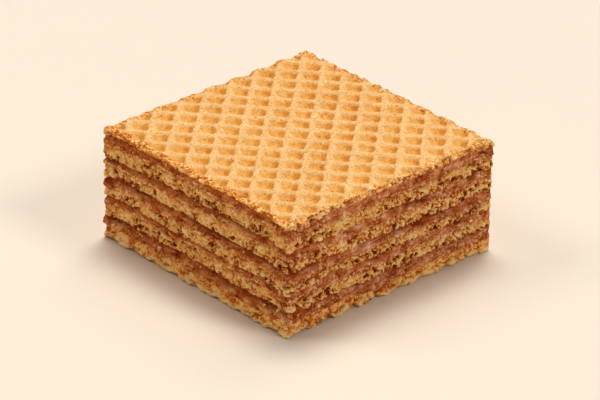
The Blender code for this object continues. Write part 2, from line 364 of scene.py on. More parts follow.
def wafer_relief(index, p, s_grid, z_grid, low, high, length, rng):
    """(how far out, painted shade in its pores and holes, rise with painted top light, cream smear) on a wafer's cut
    side. p is (n, 3).
    """
    shape = z_grid.shape
    k = 500 + 20 * index
    way = s_grid / length * 4
    mess = np.repeat(messy(way), shape[1])
    t = (z_grid - low[:, None]) / (high - low)[:, None]
    lean = (0.07 - 0.17 * np.clip(t, 0, 1) ** 1.4) * (1 + 0.8 * noise(p, 3.0, k + 7).reshape(shape))
    wide = shared_wander(p) + 0.10 * noise(p, 2.6, k)
    # calm stretches are close-grained and pale, open ones are full of bubbles
    calm = smooth(0.0, 0.5, noise(p, 3.4, k + 11) + 0.35 * noise(p, 1.2, k + 12) + np.repeat(by_side(way, [0.22, -0.05, 0.0, 0.1]), shape[1])).reshape(shape)
    for where, height, half in CALM:
        near = 1 - smooth(0.5, 1.0, np.hypot(turn_gap(way, where)[:, None] / half, (z_grid - height) / 0.8))
        calm = np.maximum(calm, near)
    lumps, grain = wafer_grain(p, k)
    lumps = lumps * (1 + 0.8 * mess) * (1 - 0.6 * calm.ravel())
    grain = grain * (1 - 0.35 * calm.ravel()) * np.repeat(by_side(way, CRISP), shape[1])
    hole = np.zeros(shape)
    a, b = z_grid.min(), z_grid.max()
    lip = smooth(0.75, 0.25, t)
    open_share = np.clip(0.26 + 0.40 * lip - 0.36 * calm, 0.04, 0.75).ravel()
    foam = np.maximum(0.32 * bubbles(p, (0.85, 0.85, 0.66), k + 13, open_share), 0.18 * bubbles(p, (0.48, 0.48, 0.40), k + 14, open_share))
    foam = (foam * (0.55 + 0.45 * lip.ravel())).reshape(shape)
    pores(hole, s_grid, z_grid, length, rng, a, b, [(0.45, 0.16, 0.30, 1.3), (0.08, 0.3, 0.5, 0.8)])
    many = smooth(-0.25, 0.35, noise(p, 1.5, k + 8)).reshape(shape)
    hole *= (0.1 + 0.9 * many) * (0.35 + 0.65 * smooth(0.9, 0.4, t)) * (1 - 0.6 * calm)
    hole = np.maximum(hole, foam) * by_side(way, CRISP)[:, None]
    for side, mm, height, rs, rz, deep in HOLES:
        if a - 0.2 < height < b + 0.2:
            dig(hole, s_grid, z_grid, length, at(side, mm) / 4 * length, height, rs, rz, deep, 0.6)
    rise = np.clip(0.44 + 2.2 * lumps + 4.6 * grain, 0, 1).reshape(shape) * (1 - 0.3 * calm) + 0.24 * calm
    edge = np.minimum(z_grid - low[:, None], high[:, None] - z_grid)
    worn = 0.07 * np.clip(1 - edge / 0.14, 0, 1) ** 2
    thick = 0.30 + 0.34 * noise(p, 2.2, k + 5) + 0.26 * noise(p, 0.8, k + 6) + 0.25 * (mess - 0.12)
    thick = thick.reshape(shape)
    smear = smooth(0.55, -0.30, high[:, None] - z_grid - thick + 0.12)
    smear = np.maximum(smear, 0.5 * smooth(0.25, -0.15, z_grid - low[:, None] - 0.5 * thick + 0.22))
    patches = smooth(0.50, 0.95, noise(p, (1.5, 1.5, 0.8), k + 9) + 0.14 * noise(p, 0.45, k + 10) + 0.24 * (mess - 0.12)).reshape(shape)
    smear = np.maximum(smear, 0.85 * patches)
    out = wide.reshape(shape) + (lumps + grain).reshape(shape) * (1 - 0.55 * smear) + 0.03 * patches + lean - hole * (1 - 0.6 * smear) - worn
    out -= 0.10 * corner_left(way)[:, None]
    # painted light: the tops of lumps made paler and their undersides darker, as a light from above would
    rise = np.clip(rise + 0.20 * painted_top_light(out), 0, 1)
    # the depth of the pores and holes is returned as painted shade, darker the deeper they go
    return out, hole * (1 - 0.5 * smear), rise, smear


# Calm pale stretches: (way round, height, half length in mm)
CALM = [(at(0, 4.0), 13.2, 6.0), (at(0, 9.0), 10.0, 2.2), (at(0, 25.0), 13.6, 2.5), (at(0, 23.5), 10.6, 2.0), (at(0, 20.0), 4.4, 2.2),
        (at(1, 14.0), 13.4, 1.5), (at(1, 29.0), 13.9, 2.5), (at(1, 22.0), 10.4, 2.0), (at(1, 12.0), 4.4, 2.0)]


def cream_relief(index, p, s_grid, z_grid, low, high, length, rng):
    """(how far out, painted shade in its pores, rise with painted top light, painted shadow under the wafer above and
    in open gaps, crumb) on a cream's cut side.
    """
    shape = z_grid.shape
    k = 800 + 20 * index
    way = s_grid / length * 4
    mess = np.repeat(messy(way), shape[1])
    t = (z_grid - low[:, None]) / (high - low)[:, None]
    streak = noise(p, (2.4, 2.4, 0.25), k) * 0.05 + noise(p, (0.9, 0.9, 0.14), k + 1) * 0.035
    wide = shared_wander(p) - 0.04 + 0.12 * noise(p, 2.8, k + 2) + 0.09 * noise(p, 0.9, k + 3)
    rough = smooth(-0.1, 0.5, noise(p, 2.2, k + 4) + 0.7 * mess)
    crumbly = rough * (0.16 * billow(p, 0.55, k + 5) + 0.07 * billow(p, 0.30, k + 6))
    rise = np.clip(0.5 + 5 * streak + 2.5 * crumbly, 0, 1)
    recess = DRAWN_BACK[index] * (1 + 0.75 * noise(p, 3.2, k + 7) + 0.4 * noise(p, 1.0, k + 8))
    recess = np.clip(recess, 0.03, 1.1).reshape(shape) * side_share(way)[:, None]
    gone = np.zeros(len(way))
    for where, half, high_gap in GAPS.get(index, ()):
        gone = np.maximum(gone, 1 - smooth(0.6 * half, 1.2 * half, np.abs(turn_gap(way, where))))
    recess = np.maximum(recess, 0.45 * gone[:, None])
    # under: how far the cream has drawn back under the wafer over it, used for the shape and again as painted shadow
    under = recess * smooth(0.15, 1.0, t)
    hole = np.zeros(shape)
    a, b = z_grid.min(), z_grid.max()
    pores(hole, s_grid, z_grid, length, rng, a, b, [(0.9, 0.06, 0.14, 1.2), (0.2, 0.15, 0.3, 1.0)])
    edge = np.minimum(z_grid - low[:, None], high[:, None] - z_grid)
    worn = 0.05 * np.clip(1 - edge / 0.15, 0, 1) ** 2
    # crumbs of the wafer below and above stuck to the cream
    near = smooth(0.45, 0.0, z_grid - low[:, None]) * 0.42 + smooth(0.25, 0.0, high[:, None] - z_grid) * 0.2
    many = np.clip(0.05 + 0.5 * near.ravel() + 0.35 * (mess - 0.12) + 0.25 * noise(p, 2.0, k + 9), 0, 0.75)
    crumb = np.maximum(bits(p, 0.85, k + 10, many), 0.8 * bits(p, 0.5, k + 11, many)).reshape(shape)
    melt = smooth(0.42, -0.08, z_grid - low[:, None] + (0.30 * noise(p, 0.9, k + 12) + 0.12 * noise(p, 0.35, k + 13)).reshape(shape))
    crumb = np.maximum(crumb, melt * by_side(way, [0.75, 0.45, 0.6, 0.7])[:, None])
    lumps, grain = wafer_grain(p, 500 + 20 * (index + 1))
    low_share = smooth(0.5, 0.0, z_grid - low[:, None]) * 0.5
    out = (wide + streak + crumbly).reshape(shape) - hole - worn - under
    out += (lumps + grain).reshape(shape) * np.maximum(crumb * 0.5, low_share) + 0.13 * crumb
    out += (AT_CORNER[index] * corner_left(way))[:, None] * np.sin(np.pi * np.clip(t, 0, 1)) ** 0.5
    rise = rise.reshape(shape) * (1 - crumb) + crumb * np.clip(0.6 + 4.5 * grain, 0, 1).reshape(shape)
    # painted light: upward faces of the cream made paler and undersides darker
    rise = np.clip(rise + 0.16 * painted_top_light(out), 0, 1)
    # the fourth value is painted shadow: dark under the wafer over the cream, and in the open gaps
    return out, hole, rise, np.maximum(under, 0.9 * gone[:, None] * smooth(0.55, 1.0, t)), crumb


# ------------------------------------------------------------------ meshes
class Builder:
    """Collects vertices, faces and one value a vertex for each attribute."""

    def __init__(self, names):
        self.points, self.faces, self.names = [], [], names
        self.values = {n: [] for n in names}
        self.count = 0

    def add(self, points, **values):
        """Adds points (n, 3) in mm and returns their indices."""
        n = len(points)
        self.points.append(np.asarray(points, np.float64))
        for name in self.names:
            v = values.get(name, 0.0)
            self.values[name].append(np.broadcast_to(np.asarray(v, np.float64).reshape(-1) if np.ndim(v) else v, (n,)))
        index = np.arange(self.count, self.count + n)
        self.count += n
        return index

    def quads(self, grid, wrap):
        """Quads between rows of indices. grid is (ways, rows), outward for ways counter-clockwise and rows upward."""
        g = np.concatenate([grid, grid[:1]], 0) if wrap else grid
        q = np.stack([g[:-1, :-1], g[1:, :-1], g[1:, 1:], g[:-1, 1:]], -1).reshape(-1, 4)
        self.faces.append(q)

    def halve(self, outer, inner, flip):
        """A band of triangles from a closed loop of 2n points to one of n."""
        n = len(inner)
        o0, o1 = outer[0::2], outer[1::2]
        o2, i0 = np.roll(outer[0::2], -1), inner
        i1 = np.roll(inner, -1)
        tris = np.concatenate([np.stack([o0, o1, i0], 1), np.stack([o1, i1, i0], 1), np.stack([o1, o2, i1], 1)])
        self.faces.append(tris[:, ::-1] if flip else tris)

    def same(self, outer, inner, flip):
        """A band of quads between two closed loops of equal length."""
        q = np.stack([outer, np.roll(outer, -1), np.roll(inner, -1), inner], 1)
        self.faces.append(q[:, ::-1] if flip else q)

    def cap(self, loop, flip):
        self.faces.append(np.asarray(loop)[::-1][None] if flip else np.asarray(loop)[None])

    def mesh(self, name):
        co = np.concatenate(self.points) * 0.001
        loops = np.concatenate([f.reshape(-1) for f in self.faces]).astype(np.int32)
        sizes = np.concatenate([np.full(len(f), f.shape[1]) for f in self.faces]).astype(np.int32)
        starts = np.concatenate([[0], np.cumsum(sizes)[:-1]]).astype(np.int32)
        mesh = bpy.data.meshes.new(name)
        mesh.vertices.add(len(co))
        mesh.vertices.foreach_set("co", co.astype(np.float32).ravel())
        mesh.loops.add(len(loops))
        mesh.loops.foreach_set("vertex_index", loops)
        mesh.polygons.add(len(sizes))
        mesh.polygons.foreach_set("loop_start", starts)
        for n in self.names:
            attribute = mesh.attributes.new(n, "FLOAT", "POINT")
            attribute.data.foreach_set("value", np.concatenate(self.values[n]).astype(np.float32))
        mesh.update(calc_edges=True)
        mesh.validate(verbose=False)
        mesh.shade_smooth()
        return mesh


def piece(mesh, name, node, material):
    obj = bpy.data.objects.new(name, mesh)
    bpy.context.scene.collection.objects.link(obj)
    mesh.materials.append(material)
    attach(obj, "root")
    if node:
        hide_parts(node)
    return obj


def held_in(xy):
    """Keeps points inside the block's box."""
    return np.clip(xy, -REACH, REACH)


def at_depth(point, out, far, z):
    return np.concatenate([held_in(point + out * np.asarray(far).reshape(-1, 1)), np.asarray(z).reshape(-1, 1)], 1)


def close_inside(b, rim, point, out, t, height, flat, upward, seed):
    """Closes a layer from its rim loop inwards: rough near the cut, flat further in."""
    loop = rim
    far = ((0.42, 0.10), (0.95, 0.03), (1.7, 0.0))
    for i, (deep, wave) in enumerate(far):
        step = 2 ** (i + 1)
        pt, ot, z = point[::step], out[::step], height[::step]
        share = (deep / 1.7) ** 1.0
        p3 = np.concatenate([pt - ot * deep, z[:, None]], 1)
        zz = z * (1 - share) + flat * share + wave * noise(p3, 0.8, seed + i)
        shrink = 1 - deep / HALF
        pos = np.concatenate([pt * shrink, zz[:, None]], 1)
        # painted shade: the inner faces get some of the pore shade, a low rise and, on creams, some of the under-wafer
        # shadow
        inner = b.add(pos, cavity=0.35, rise=0.3, smear=0.4)
        b.halve(loop, inner, flip=not upward)
        loop = inner
    b.cap(loop, flip=not upward)


WAYS = 1408


def inner_layer(index):
    """One layer between two boundaries: a detailed cut side all round, closed inside."""
    node = NODES[index]
    wafer = node.startswith("wafer")
    point, out, t = outline(WAYS)
    length = 4 * (2 * (HALF - CORNER) + CORNER * math.pi / 2)
    s_grid = t / 4 * length
    rng = np.random.default_rng(70 + index)
    upper3 = np.concatenate([point, np.full((WAYS, 1), levels[index])], 1)
    lower3 = np.concatenate([point, np.full((WAYS, 1), levels[index + 1])], 1)
    high = boundary(index, t, upper3)
    low = boundary(index + 1, t, lower3)
    if not wafer:
        high = high - np.clip(gap(index, t, upper3), 0, 0.6)
    high = np.maximum(high, low + 0.25)
    rows = int(round((levels[index] - levels[index + 1]) / STEP)) + 1
    w = np.linspace(0, 1, rows)
    z_grid = low[:, None] + (high - low)[:, None] * w[None]
    p = np.stack([np.repeat(point[:, 0], rows), np.repeat(point[:, 1], rows), z_grid.ravel()], 1)
    relief = wafer_relief if wafer else cream_relief
    # for a cream the fourth value is painted shadow under the wafer above, for a wafer it is the cream smeared on it;
    # the second value is painted shade in the pores
    far, cavity, rise, smear, *crumb = relief(index, p, s_grid, z_grid, low, high, length, rng)
    # a sideways warp, so that hollows have uneven walls
    warp = 0.05 * noise(p, 0.45, 41 + index).reshape(z_grid.shape) * np.sin(np.pi * w)[None]
    pos = at_depth(np.repeat(point, rows, 0), np.repeat(out, rows, 0), far.ravel(), (z_grid + warp).ravel())
    b = Builder(["cavity", "rise", "smear", "crumb", "mauve"])
    crumb = crumb[0].ravel() if crumb else 0.0
    # painted light: how much each side's cream is tinted for the light falling on that side
    mauve = np.repeat(by_side(s_grid / length * 4, SIDE_LIGHT_TINT), z_grid.shape[1])
    grid = b.add(pos, cavity=cavity.ravel(), rise=rise.ravel(), smear=smear.ravel(), crumb=crumb, mauve=mauve).reshape(z_grid.shape)
    b.quads(grid, True)
    close_inside(b, grid[:, -1], point, out, t, high, levels[index] - 0.03, True, 600 + index)
    close_inside(b, grid[:, 0], point, out, t, low, levels[index + 1] + 0.03, False, 640 + index)
    return b.mesh(node + "_look")


# ------------------------------------------------------------------ the waffle faces
def lattice(xy, phase):
    """Distances in mm from the nearest ridge of each family, and the two pitch counts."""
    p3 = np.concatenate([xy, np.zeros((len(xy), 1))], 1)
    warp = np.stack([noise(p3, 4.0, 3), noise(p3, 4.0, 4)], 1) * 0.09
    warp += np.stack([noise(p3, 1.3, 13), noise(p3, 1.3, 14)], 1) * 0.14
    warp += np.stack([noise(p3, 0.5, 15), noise(p3, 0.5, 16)], 1) * 0.10
    q = xy + warp
    a = (q[:, 0] * math.cos(ANGLE_A) + q[:, 1] * math.sin(ANGLE_A)) / PITCH_A - phase[0]
    b = (q[:, 0] * math.cos(ANGLE_B) + q[:, 1] * math.sin(ANGLE_B)) / PITCH_B - phase[1]
    return np.abs(a - np.round(a)) * PITCH_A, np.abs(b - np.round(b)) * PITCH_B, a, b


def soft_min(a, b, k):
    h = np.clip(0.5 + 0.5 * (b - a) / k, 0, 1)
    return b * (1 - h) + a * h - k * h * (1 - h)


def pit_share(xy, phase):
    """(0 on a ridge and 1 on a pit's floor, tone, streak). Each pit is an upside-down pyramid whose floor sits off its
    middle.
    tone is 1 where a pit is darker, partly browning and partly painted shade, and streak is 1 along its steep wall,
    where the colour is painted shade for a wall turned from the light."""
    _, _, a, b = lattice(xy, phase)
    fa, fb = a - np.floor(a), b - np.floor(b)
    walls = [(fa - 0.04) / 0.42, (0.985 - fa) / 0.52, (fb - 0.08) / 0.42, (0.90 - fb) / 0.17]
    share = walls[0]
    for wall in walls[1:]:
        share = soft_min(share, wall, 0.30)
    left = 0.28 * fa - 0.02
    tone = smooth(0.04, 0.28, fa) * (1 - smooth(0.52, 0.90, fa)) * smooth(left, left + 0.15, fb) * (1 - smooth(0.82, 0.92, fb))
    streak = smooth(0.50, 0.72, fb) * (1 - smooth(0.80, 0.92, fb)) * smooth(0.06, 0.32, fa) * (1 - smooth(0.62, 0.95, fa))
    return np.clip(soft_min(share, np.full_like(share, 1.0), 0.2), -0.25, 1), tone, streak


def square_grid(m, point):
    """Indices and ideal places of an (m + 1)^2 grid whose border is the closed loop of 4 m points, in order."""
    side = np.linspace(-HALF, HALF, m + 1)
    gx, gy = np.meshgrid(side, side, indexing="ij")
    ring = np.concatenate([
        np.stack([np.arange(m), np.zeros(m, int)], 1),
        np.stack([np.full(m, m), np.arange(m)], 1),
        np.stack([np.arange(m, 0, -1), np.full(m, m)], 1),
        np.stack([np.zeros(m, int), np.arange(m, 0, -1)], 1),
    ])
    return gx, gy, ring


def fill_face(m, rim_xy):
    """Places (m + 1, m + 1, 2) of a grid that meets the rim loop, regular away from it."""
    gx, gy, ring = square_grid(m, rim_xy)
    ideal = np.stack([gx[ring[:, 0], ring[:, 1]], gy[ring[:, 0], ring[:, 1]]], 1)
    delta = rim_xy - ideal
    d = np.zeros((m + 1, m + 1, 2))
    d[ring[:, 0], ring[:, 1]] = delta
    u = np.linspace(0, 1, m + 1)
    mm = u * 2 * HALF
    fade = lambda dist: (1 - smooth(0.0, 2.2, dist))
    place = np.stack([gx, gy], -1)
    total = np.zeros_like(place)
    weight = np.zeros((m + 1, m + 1, 1))
    for edge_delta, dist in (
        (np.broadcast_to(d[:, 0][:, None], total.shape), np.broadcast_to(mm[None, :], (m + 1, m + 1))),
        (np.broadcast_to(d[:, -1][:, None], total.shape), np.broadcast_to(mm[::-1][None, :], (m + 1, m + 1))),
        (np.broadcast_to(d[0][None], total.shape), np.broadcast_to(mm[:, None], (m + 1, m + 1))),
        (np.broadcast_to(d[-1][None], total.shape), np.broadcast_to(mm[::-1][:, None], (m + 1, m + 1))),
    ):
        w = 1.0 / (dist[..., None] + 1e-6) ** 2
        total += w * edge_delta * fade(dist)[..., None]
        weight += w
    place = place + total / weight
    place[ring[:, 0], ring[:, 1]] = rim_xy
    return place, ring


# How pale the crust is along each edge
PALE = [0.05, 0.85, 0.5, 0.4]


def outer_wafer(top):
    """The top sheet, or the bottom sheet: a waffle face, a cut side all round, closed inside."""
    index = 0 if top else len(NODES) - 1
    node = NODES[index]
    m = 280 if top else 240
    ways = 4 * m
    phase = TOP_PHASE if top else BOTTOM_PHASE
    point, out, t = outline(ways)
    length = 4 * (2 * (HALF - CORNER) + CORNER * math.pi / 2)
    s_grid = t / 4 * length
    rng = np.random.default_rng(90 + index)
    at_level = lambda z: np.concatenate([point, np.full((ways, 1), z)], 1)
    depth = 0.56
    b = Builder(["cavity", "rise", "edge", "pit", "rim", "wall", "pale"])

    # the rim loop, where the waffle face ends
    rim3 = at_level(levels[index])
    wander = shared_wander(rim3)
    ragged = (0.10 if top else 0.07) * noise(rim3, 1.1, 55 + index) + 0.07 * noise(rim3, 0.5, 56 + index) + 0.04 * noise(rim3, 0.25, 57 + index)
    corner = np.abs(t - np.round(t)) * 2 * HALF
    bevel = (0.20 if top else 0.07) + 0.07 * noise(rim3, 2.0, 58 + index) + 0.10 * (1 - smooth(0.0, 1.3, corner))
    rim_xy = held_in(point + out * (wander + ragged - bevel)[:, None])
    rim_pit = np.clip(pit_share(rim_xy, phase)[0], 0, 1)
    if top:
        drop = 0.14 + 0.06 * noise(rim3, 1.5, 59) + 0.05 * noise(rim3, 0.4, 60) + 0.03 * (1 - smooth(0.0, 2.0, corner))
        rim_z = levels[0] - np.clip(drop, 0.03, 1) - 0.46 * rim_pit
        other = boundary(1, t, at_level(levels[1]))
        low, high = other, rim_z
    else:
        drop = 0.02 + 0.04 * noise(rim3, 1.5, 61) + 0.03 * noise(rim3, 0.5, 62)
        rim_z = np.clip(drop, 0.0, 1) + 0.56 * rim_pit
        other = boundary(index, t, at_level(levels[index]))
        low, high = rim_z, other
    rows = int(round((levels[index] - levels[index + 1]) / 0.115)) + 1
    w = np.linspace(0, 1, rows)
    z_grid = low[:, None] + (high - low)[:, None] * w[None]
    p = np.stack([np.repeat(point[:, 0], rows), np.repeat(point[:, 1], rows), z_grid.ravel()], 1)
    far, cavity, rise, _ = wafer_relief(index, p, s_grid, z_grid, low - 1, high + 1, length, rng)
    rim_share = w[None] if top else 1 - w[None]
    # near the rim the side bends over to the rim loop
    blend = smooth(0.55, 1.0, rim_share) if top else smooth(0.45, 1.0, rim_share)
    rim_far = ((rim_xy - point) * out).sum(1)
    far = far * (1 - blend) + (rim_far[:, None] + 0.5 * (far - far.mean())) * blend
    if not top:
        # the pits cut into the lower part of the side
        far += (0.14 - 0.22 * rim_pit[:, None]) * smooth(0.45, 0.9, rim_share)
    pos = at_depth(np.repeat(point, rows, 0), np.repeat(out, rows, 0), far.ravel(), z_grid.ravel())
    grid_pos = pos.reshape(ways, rows, 3)
    end = rows - 1 if top else 0
    grid_pos[:, end, :2] = rim_xy
    grid_pos[:, end, 2] = rim_z
    sides = b.add(
        grid_pos.reshape(-1, 3), cavity=cavity.ravel(), rise=rise.ravel(),
        edge=np.broadcast_to(1 - rim_share if top else np.clip(1.06 - rim_share, 0, 1), z_grid.shape).ravel(), rim=np.full(z_grid.size, 1.0 if top else 0.0),
        pale=(np.broadcast_to(by_side(t, PALE)[:, None], z_grid.shape) if top else np.broadcast_to(0.25 + 0.95 * smooth(0.35, 0.8, rim_share), z_grid.shape)).ravel(),
        pit=np.broadcast_to(rim_pit[:, None], z_grid.shape).ravel(),
    ).reshape(z_grid.shape)
    b.quads(sides, True)

    # the waffle face
    place, ring = fill_face(m, rim_xy)
    flat = place.reshape(-1, 2)
    flat3 = np.concatenate([flat, np.full((len(flat), 1), levels[index])], 1)
    share, tone, streak = pit_share(flat, phase)
    inward = np.minimum(HALF - np.abs(flat[:, 0]), HALF - np.abs(flat[:, 1]))
    fall = 0.16 * np.clip(1 - (inward - 0.2) / 0.7, 0, 1) ** 2
    browned = 1 - smooth(0.25, 1.6, inward + 0.4 * noise(flat3, 1.4, 9) + 0.25 * noise(flat3, 0.5, 10))
    edges = np.stack([HALF + flat[:, 1], HALF - flat[:, 0], HALF - flat[:, 1], HALF + flat[:, 0]], 1)
    near = 1 / (np.maximum(edges, 0) + 0.2) ** 3
    pale_share = (near * PALE).sum(1) / near.sum(1)
    bumps = 0.04 * noise(flat3, 0.85, 5) + (0.05 + (0.05 + 0.06 * (1 - pale_share)) * browned) * billow(flat3, 0.42, 6) + 0.032 * noise(flat3, 0.27, 7)
    _, _, cell_a, cell_b = lattice(flat, phase)
    cell = np.stack([np.floor(cell_a), np.floor(cell_b), np.zeros(len(flat))], 1)
    relief = depth * (1 + 0.35 * noise(cell + 0.5, 2.3, 8)) * share * (1 - 0.38 * (1 - smooth(0.1, 0.9, inward))) + fall - bumps
    rise = np.clip(0.5 + 6 * bumps, 0, 1)
    tiny = np.zeros(len(flat))
    grid_index = np.arange(len(flat)).reshape(m + 1, m + 1)
    cell = 2 * HALF / m
    for _ in range(900 if top else 500):
        cx, cy = rng.uniform(-HALF + 0.4, HALF - 0.4, 2)
        r = rng.uniform(0.10, 0.19)
        i, j = int((cx + HALF) / cell), int((cy + HALF) / cell)
        k = int(r / cell) + 2
        block = grid_index[max(0, i - k):i + k + 1, max(0, j - k):j + k + 1].ravel()
        d2 = ((flat[block, 0] - cx) ** 2 + (flat[block, 1] - cy) ** 2) / r**2
        tiny[block] = np.maximum(tiny[block], rng.uniform(0.3, 1.0) * np.clip(1 - d2, 0, 1))
    relief = relief + 0.10 * tiny
    if top:
        z = np.minimum(levels[0] - relief - 0.02, levels[0])
    else:
        z = np.maximum(relief * 0.95, 0.0)
    zz = z.reshape(m + 1, m + 1)
    zz[ring[:, 0], ring[:, 1]] = rim_z
    indices = np.full((m + 1, m + 1), -1)
    indices[ring[:, 0], ring[:, 1]] = sides[:, end]
    inner = indices < 0
    xyz = np.concatenate([place, zz[..., None]], -1)
    # the small dents on the waffle face get painted shade
    indices[inner] = b.add(
        xyz[inner], cavity=(0.45 * tiny).reshape(m + 1, m + 1)[inner], rise=rise.reshape(m + 1, m + 1)[inner], edge=0.0,
        pit=tone.reshape(m + 1, m + 1)[inner], wall=streak.reshape(m + 1, m + 1)[inner],
        rim=browned.reshape(m + 1, m + 1)[inner], pale=pale_share.reshape(m + 1, m + 1)[inner],
    )
    g = indices
    q = np.stack([g[:-1, :-1], g[1:, :-1], g[1:, 1:], g[:-1, 1:]], -1).reshape(-1, 4)
    b.faces.append(q if top else q[:, ::-1])

    # closed inside
    if top:
        close_inside(b, sides[:, 0], point, out, t, low, levels[1] + 0.03, False, 700)
    else:
        close_inside(b, sides[:, -1], point, out, t, high, levels[index] - 0.03, True, 720)
    return b.mesh(node + "_look")


# ------------------------------------------------------------------ crumbs
def crumbs(rng, count):
    """Loose grains stuck to the cut sides, as one joined mesh of small lumps."""
    golden = (1 + 5**0.5) / 2
    ico = np.array([(-1, golden, 0), (1, golden, 0), (-1, -golden, 0), (1, -golden, 0), (0, -1, golden), (0, 1, golden),
                    (0, -1, -golden), (0, 1, -golden), (golden, 0, -1), (golden, 0, 1), (-golden, 0, -1), (-golden, 0, 1)], float)
    ico /= np.linalg.norm(ico[0])
    tri = [(0, 11, 5), (0, 5, 1), (0, 1, 7), (0, 7, 10), (0, 10, 11), (1, 5, 9), (5, 11, 4), (11, 10, 2), (10, 7, 6), (7, 1, 8),
           (3, 9, 4), (3, 4, 2), (3, 2, 6), (3, 6, 8), (3, 8, 9), (4, 9, 5), (2, 4, 11), (6, 2, 10), (8, 6, 7), (9, 8, 1)]
    verts, faces, seen = [tuple(v) for v in ico], [], {}

    def middle(a, c):
        key = (min(a, c), max(a, c))
        if key not in seen:
            v = (np.array(verts[a]) + np.array(verts[c])) / 2
            verts.append(tuple(v / np.linalg.norm(v)))
            seen[key] = len(verts) - 1
        return seen[key]

    for a, c, d in tri:
        ac, cd, da = middle(a, c), middle(c, d), middle(d, a)
        faces += [(a, ac, da), (c, cd, ac), (d, da, cd), (ac, cd, da)]
    ball, faces = np.array(verts), np.array(faces)
    b = Builder(["cavity", "rise", "smear", "crumb", "mauve"])
    point, out, t = outline(WAYS)
    for i in range(count):
        k = rng.integers(WAYS)
        height = rng.uniform(0.5, TOP_Z - 0.6)
        size = rng.uniform(0.06, 0.17) if i % 7 else rng.uniform(0.15, 0.24)
        stretch = rng.uniform(0.6, 1.3, 3)
        lump = ball * stretch * size
        lump *= (1 + 0.55 * noise(lump + i * 3.1, size * 0.8, 9))[:, None]
        angle = rng.uniform(0, 2 * math.pi)
        c, s = math.cos(angle), math.sin(angle)
        lump = lump @ np.array([[c, -s, 0], [s, c, 0], [0, 0, 1]])
        centre = np.array([*(point[k] + out[k] * rng.uniform(-0.16, 0.02)), height])
        pos = lump + centre
        pos[:, :2] = held_in(pos[:, :2])
        pos[:, 2] = np.clip(pos[:, 2], 0.0, TOP_Z)
        b.add(pos, smear=0.9 if rng.random() < 0.3 else 0.0, rise=rng.uniform(0.4, 0.9))
        b.faces.append(faces + i * len(ball))
    return b.mesh("crumbs")


# ------------------------------------------------------------------ materials
def node_tree(name):
    mat = bpy.data.materials.new(name)
    mat.use_nodes = True
    tree = mat.node_tree
    return mat, tree, tree.nodes["Principled BSDF"]


def attribute(tree, name):
    node = tree.nodes.new("ShaderNodeAttribute")
    node.attribute_name = name
    return node.outputs["Fac"]


def pattern(tree, scale, detail=2.0, rough=0.5, kind="noise"):
    """Noise in the object's own coordinates; scale is features per mm."""
    coord = tree.nodes.new("ShaderNodeTexCoord")
    node = tree.nodes.new("ShaderNodeTexNoise")
    node.inputs["Scale"].default_value = scale * 1000
    node.inputs["Detail"].default_value = detail
    node.inputs["Roughness"].default_value = rough
    tree.links.new(coord.outputs["Object"], node.inputs["Vector"])
    return node.outputs["Fac"]


def ramp(tree, source, stops, interpolation="LINEAR"):
    node = tree.nodes.new("ShaderNodeValToRGB")
    node.color_ramp.interpolation = interpolation
    elements = node.color_ramp.elements
    while len(elements) < len(stops):
        elements.new(0.5)
    for element, (where, color) in zip(elements, stops):
        element.position = where
        element.color = (*color, 1.0) if len(color) == 3 else color
    tree.links.new(source, node.inputs["Fac"])
    return node.outputs["Color"]


def grey(v):
    return (v, v, v)


def mix(tree, factor, a, b, kind="MIX"):
    node = tree.nodes.new("ShaderNodeMix")
    node.data_type = "RGBA"
    node.blend_type = kind
    for socket, value in ((node.inputs["Factor"], factor), (node.inputs["A"], a), (node.inputs["B"], b)):
        pass
    factor_socket, a_socket, b_socket = node.inputs[0], node.inputs[6], node.inputs[7]
    for socket, value in ((factor_socket, factor), (a_socket, a), (b_socket, b)):
        if isinstance(value, bpy.types.NodeSocket):
            tree.links.new(value, socket)
        elif isinstance(value, (int, float)):
            socket.default_value = value
        else:
            socket.default_value = (*value, 1.0)
    return node.outputs[2]


def math_node(tree, kind, a, b=None, clamp=False):
    node = tree.nodes.new("ShaderNodeMath")
    node.operation = kind
    node.use_clamp = clamp
    for socket, value in zip(node.inputs, (a, b)):
        if value is None:
            continue
        if isinstance(value, bpy.types.NodeSocket):
            tree.links.new(value, socket)
        else:
            socket.default_value = value
    return node.outputs[0]


def bump(tree, shader, height, distance, strength=1.0):
    node = tree.nodes.new("ShaderNodeBump")
    node.inputs["Strength"].default_value = strength
    node.inputs["Distance"].default_value = distance
    tree.links.new(height, node.inputs["Height"])
    tree.links.new(node.outputs["Normal"], shader.inputs["Normal"])


def srgb(r, g, b):
    """A colour given as it looks, 0 to 255, as the shader's own linear values."""
    return tuple((c / 255 / 12.92) if c / 255 <= 0.04045 else ((c / 255 + 0.055) / 1.055) ** 2.4 for c in (r, g, b))


def centred(tree, source, noise_source, much):
    return math_node(tree, "ADD", source, math_node(tree, "MULTIPLY", math_node(tree, "SUBTRACT", noise_source, 0.5), much))


def wafer_colour(tree, fine):
    """The crumb of a wafer: pale tan on its raised grains and browner between them, partly grain colour and partly
    painted shade; rise also brings painted top light, and its pores get painted shade.
    """
    broad = pattern(tree, 0.75, 3.0, 0.55)
    mixed = math_node(tree, "ADD", attribute(tree, "rise"), math_node(tree, "MULTIPLY", math_node(tree, "SUBTRACT", fine, 0.5), 1.7))
    mixed = centred(tree, mixed, broad, 0.9)
    # painted shade: pores and holes made darker
    hole = ramp(tree, attribute(tree, "cavity"), [(0.03, grey(0.0)), (0.24, grey(1.0))])
    mixed = math_node(tree, "ADD", math_node(tree, "MULTIPLY", mixed, 0.7, True), 0.3)
    mixed = math_node(tree, "SUBTRACT", mixed, math_node(tree, "MULTIPLY", hole, 0.50))
    return ramp(tree, mixed, [(0.02, srgb(98, 30, 0)), (0.16, srgb(128, 48, 0)), (0.30, srgb(156, 68, 6)), (0.47, srgb(204, 122, 48)),
                              (0.65, srgb(240, 172, 94)), (0.83, srgb(255, 205, 130)), (0.98, srgb(255, 220, 156))])


